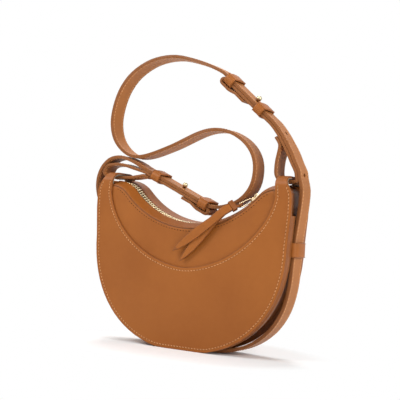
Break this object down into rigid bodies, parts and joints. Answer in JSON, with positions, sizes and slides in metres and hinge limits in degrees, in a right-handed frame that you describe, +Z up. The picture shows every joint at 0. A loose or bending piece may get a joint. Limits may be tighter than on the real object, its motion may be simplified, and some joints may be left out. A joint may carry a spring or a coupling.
{
  "type": "saddle handbag",
  "caption": "Half-moon leather crossbody bag with a curved zip, two folded ears and one long strap that runs round the bag and hooks on studs.",
  "frame": {"origin": "on the resting face, under the middle of the bag, where the strap lies flat in its channel", "axes": "+X towards the right side with the zip slider, +Y to the back, +Z up"},
  "size_m": [0.2312, 0.0436, 0.2831],
  "materials": {
    "leather": "smooth satin tan leather",
    "suede": "matt flesh side",
    "cloth": "woven",
    "board": "bonded fibre board",
    "gold": "polished, light gold"
  },
  "bodies": {
    "bag": {"front_upper_panel": "leather", "front_crescent_panel": "leather", "back_panel": "leather", "gusset": "leather", "ear_lining_left": "suede", "ear_lining_right": "suede", "front_stiffener": "board", "back_stiffener": "board", "gusset_stiffener": "board", "lining": "cloth", "zip_strip_front": "leather", "zip_strip_back": "leather", "zip_tape_front": "cloth", "zip_tape_back": "cloth", "zip_teeth_front": "gold", "zip_teeth_back": "gold", "zip_stop_left": "gold", "zip_stop_right": "gold", "gusset_keeper_left": "leather", "gusset_keeper_right": "leather", "long_strap": "leather", "loop_strap_left": "leather", "loop_strap_right": "leather", "end_keeper_left": "leather", "end_keeper_right": "leather", "stud_left": "gold", "stud_right": "gold", "stud_screw_left": "gold", "stud_screw_right": "gold"},
    "slider": {"zip_slider": "gold"},
    "link": {"pull_ring": "gold", "pull_link": "gold"},
    "pull": {"pull_strip": "leather", "pull_keeper": "leather"},
    "right_keeper": {"sliding_keeper_right": "leather"},
    "left_keeper": {"sliding_keeper_left": "leather"}
  },
  "joints": [
    {"name": "zip_run", "type": "hinge", "parent": "bag", "child": "slider", "pos_m": [0, 0, 0.214], "axis": [0, 1, 0], "range_deg": [0, 86]},
    {"name": "link_swing", "type": "hinge", "parent": "slider", "child": "link", "pos_m": [0.06183, 0, 0.14668], "axis": [0, 1, 0], "range_deg": [0, 9]},
    {"name": "pull_lift", "type": "hinge", "parent": "link", "child": "pull", "pos_m": [0.05142, -0.00951, 0.1378], "axis": [-0.682, 0, 0.7314], "range_deg": [0, 50]},
    {"name": "right_keeper_slide", "type": "slide", "parent": "bag", "child": "right_keeper", "axis": [0.7547, 0, -0.6561], "range_m": [-0.0025, 0.012]},
    {"name": "left_keeper_slide", "type": "slide", "parent": "bag", "child": "left_keeper", "axis": [-0.91, 0, 0.4147], "range_m": [-0.019, 0.0025]}
  ]
}
